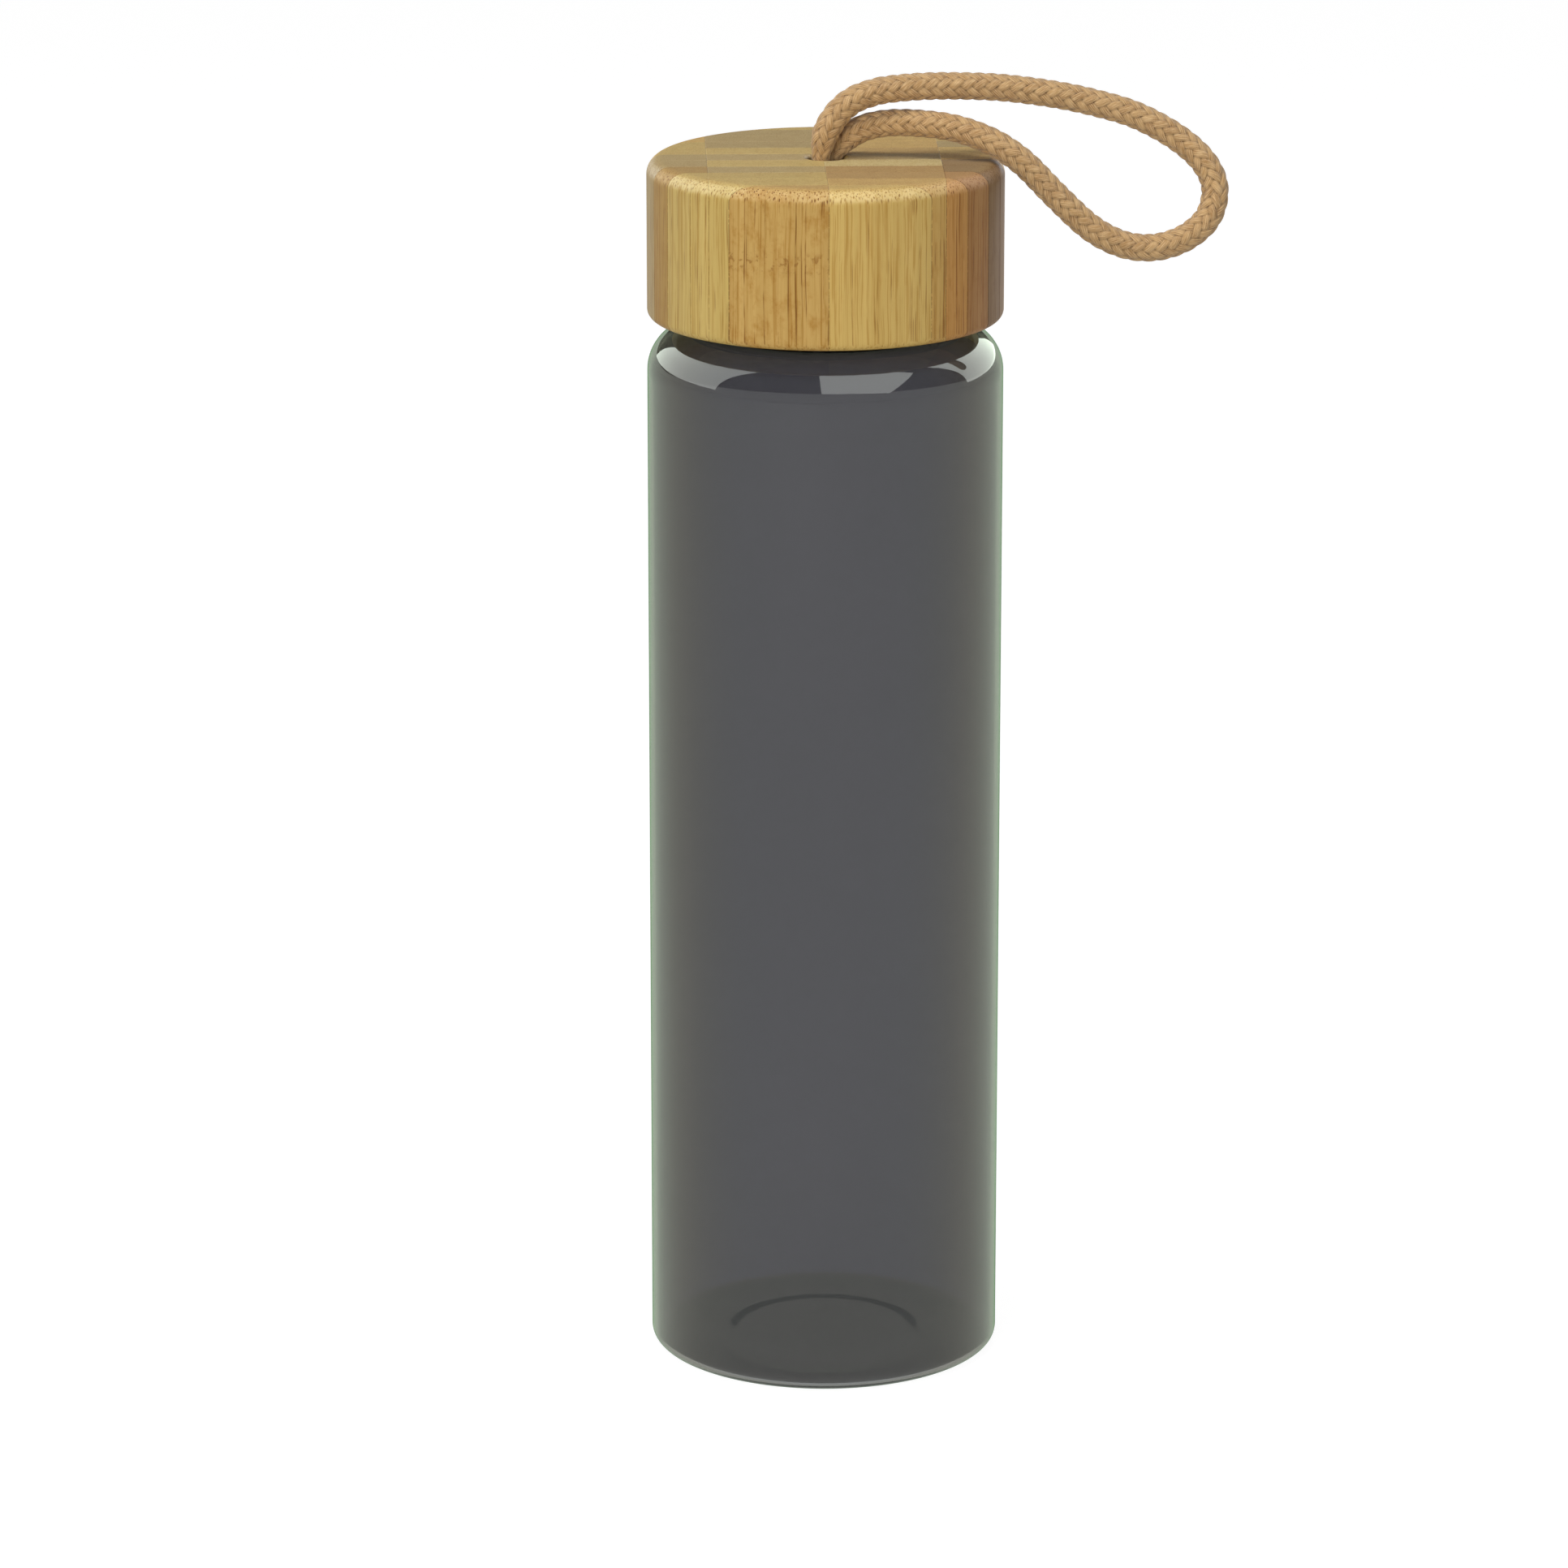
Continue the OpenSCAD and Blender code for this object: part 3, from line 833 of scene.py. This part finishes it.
def make_insert():
    """The threaded cup that is glued inside the lid."""
    inner = INSERT_R - INSERT_WALL
    ceiling = INSERT_HIGH.z - INSERT_ROOF
    low = INSERT_LOW.z
    rows = 80
    drop = ceiling - low - 0.0012
    wall = [(inner, ceiling - INSERT_EDGE - drop * i / rows) for i in range(1, rows)]
    section = supported(
        [(0, ceiling), (SEAL_R - 0.003, ceiling)]
        + [(inner - INSERT_EDGE, ceiling), (inner - 0.00012, ceiling - 0.00012)]
        + wall
        + [(inner + 0.00045, low + 0.0001), (inner + 0.0008, low), (INSERT_R - 0.0003, low)]
        + [(INSERT_R, low + 0.0003), (INSERT_R, INSERT_HIGH.z - INSERT_EDGE)]
        + [(INSERT_R - INSERT_EDGE, INSERT_HIGH.z), (0, INSERT_HIGH.z)]
    )
    start_z = THREAD_Z + PITCH * NUT_START / (2 * math.pi) - NUT_SHIFT
    ridge = helix_ridge(NUT_START, start_z, NUT_H, NUT_HALF)

    def shift(r, z, turn):
        return np.where(np.abs(r - inner) < SAME_RADIUS, -ridge(z, turn), 0)

    mesh = lathe("insert_cup", section, 192, shift)
    mesh.materials.append(plastic_material())
    cup = new_object("insert_cup", mesh, "lid")
    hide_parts("cap_insert")


def silicone_material():
    n = material_nodes("silicone")
    grain = n.noise(n.place(), 3.0, 2.0)
    color = n.mix(grain, *SILICONE_GREYS)
    n.bump(grain, 0.00003, 0.3)
    return n.set(Base_Color=color, Roughness=n.maths("MULTIPLY_ADD", grain, 0.2, 0.35),
                 Subsurface_Weight=0.25, Subsurface_Scale=0.001)


def make_seal():
    """A flat ring with rounded edges and two fine lips on each face."""
    low, high = SEAL_LOW.z, SEAL_HIGH.z
    bottom = [(SEAL_INNER_R + SEAL_EDGE, low + SEAL_LIP_H)]
    for r in (SEAL_INNER_R + SEAL_LIP_IN, SEAL_R - SEAL_LIP_IN):
        bottom += [(r - SEAL_LIP_HALF, low + SEAL_LIP_H), (r, low), (r + SEAL_LIP_HALF, low + SEAL_LIP_H)]
    bottom.append((SEAL_R - SEAL_EDGE, low + SEAL_LIP_H))
    top = [(r, high - (z - low)) for r, z in reversed(bottom)]
    side_low = low + SEAL_LIP_H + SEAL_EDGE
    side_high = high - SEAL_LIP_H - SEAL_EDGE
    section = bottom + [(SEAL_R, side_low), (SEAL_R, side_high)] + top
    section += [(SEAL_INNER_R, side_high), (SEAL_INNER_R, side_low)]
    mesh = lathe("seal", section, 192)
    mesh.materials.append(silicone_material())
    seal = new_object("lid_seal", mesh, "seal")
    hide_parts("seal_ring")


# ---------------------------------------------------------------- stage and light

FLOOR_GLOW = 0.95
FLOOR_HELD_BACK = 0.55       # the part of its glow that matt surfaces do not get
WHITE_GLOW = 0.95
ROOM_GLOW = 0.05
WHITE_EDGE = 0.1885          # z of the directions in which the white wall ends, to the left and right
EDGE_SLOPE = 0.208           # how much lower that is behind and higher in front, for each unit of y
EDGE_REACH = 0.55            # y beyond which it gets no lower
EDGE_BLUR = 0.008


def make_floor():
    """A plain white floor, which gives the object less light than the eye sees in it."""
    bm = bmesh.new()
    bmesh.ops.create_circle(bm, cap_ends=True, radius=6, segments=64)
    mesh = bpy.data.meshes.new("floor")
    bm.to_mesh(mesh)
    bm.free()
    n = material_nodes("floor")
    onto_matt = n.node("ShaderNodeLightPath").outputs["Is Diffuse Ray"]
    glow = n.maths("MULTIPLY_ADD", onto_matt, -FLOOR_HELD_BACK, FLOOR_GLOW)
    mesh.materials.append(n.set(Base_Color=(0.2, 0.2, 0.2, 1), Roughness=0.9, Specular_IOR_Level=0.0,
                                Emission_Color=(1, 1, 1, 1), Emission_Strength=glow))
    floor = bpy.data.objects.new("floor", mesh)
    floor.location.z = -0.0005
    bpy.context.scene.collection.objects.link(floor)


def make_world():
    """A white table and wall, up to an edge that is higher in front, and a dim room above them. The room
    shows in reflections only."""
    world = bpy.data.worlds.new("studio")
    n = Nodes(world)
    parts = n.node("ShaderNodeSeparateXYZ")
    n.put(n.node("ShaderNodeTexCoord").outputs["Generated"], parts.inputs[0])
    depth = n.maths("MINIMUM", parts.outputs[1], EDGE_REACH)
    slant = n.maths("ADD", parts.outputs[2], n.maths("MULTIPLY", depth, EDGE_SLOPE))
    below = n.maths("SUBTRACT", WHITE_EDGE, slant)
    low = n.maths("DIVIDE", below, EDGE_BLUR, clamp=True)
    path = n.node("ShaderNodeLightPath")
    seen = n.maths("ADD", path.outputs["Is Camera Ray"], path.outputs["Is Transmission Ray"], clamp=True)
    white = n.maths("MAXIMUM", low, seen)
    light = n.maths("ADD", n.maths("MULTIPLY", white, WHITE_GLOW), ROOM_GLOW)
    background = n.tree.nodes["Background"]
    n.put(light, background.inputs["Strength"])
    background.inputs["Color"].default_value = (1, 1, 1, 1)
    bpy.context.scene.world = world


def make_light(name, place, aim, size, glow, gloss):
    """A soft rectangular light. gloss says whether it shows in reflections or lights matt surfaces."""
    data = bpy.data.lights.new(name, "AREA")
    data.shape = "RECTANGLE"
    data.size, data.size_y = size
    data.energy = glow * math.pi * size[0] * size[1]
    light = bpy.data.objects.new(name, data)
    light.location = place
    light.rotation_euler = (Vector(aim) - light.location).to_track_quat("-Z", "Y").to_euler()
    light.visible_camera = False
    light.visible_transmission = False
    light.visible_glossy = gloss
    light.visible_diffuse = not gloss
    bpy.context.scene.collection.objects.link(light)


def make_studio():
    """Floor, world and lights: three large panels that the glass reflects and three that light the rest."""
    make_floor()
    make_world()
    upper_part = (0, 0, 0.19)
    make_light("reflector_left", (-1, 0.72, 1.16), (0, 0.72, 1.16), (2.0, 1.7), 3.9, True)
    make_light("reflector_right", (1, 1.62, 1.3), (0, 1.62, 1.3), (2.8, 2.1), 4.2, True)
    make_light("reflector_front", (0.45, -0.6, 0.96), (0.45, 0, 0.19), (1.0, 1.15), 4.0, True)
    make_light("key_above", (-0.15, -0.15, 1.35), upper_part, (0.6, 0.6), 9.0, False)
    make_light("fill_left", (-0.7, -1.25, 0.6), upper_part, (0.7, 0.7), 6.4, False)
    make_light("fill_right", (1.1, -0.9, 0.6), upper_part, (0.6, 0.6), 1.3, False)
    bpy.context.scene.view_settings.view_transform = "Standard"


# ---------------------------------------------------------------- the scene

make_camera()
yarn = cord_material()
carry_cord, cord_line, cord_length = make_cord(yarn)
knotted_ends = make_knot(yarn)
make_glass()
make_lid()
make_insert()
make_seal()
make_studio()
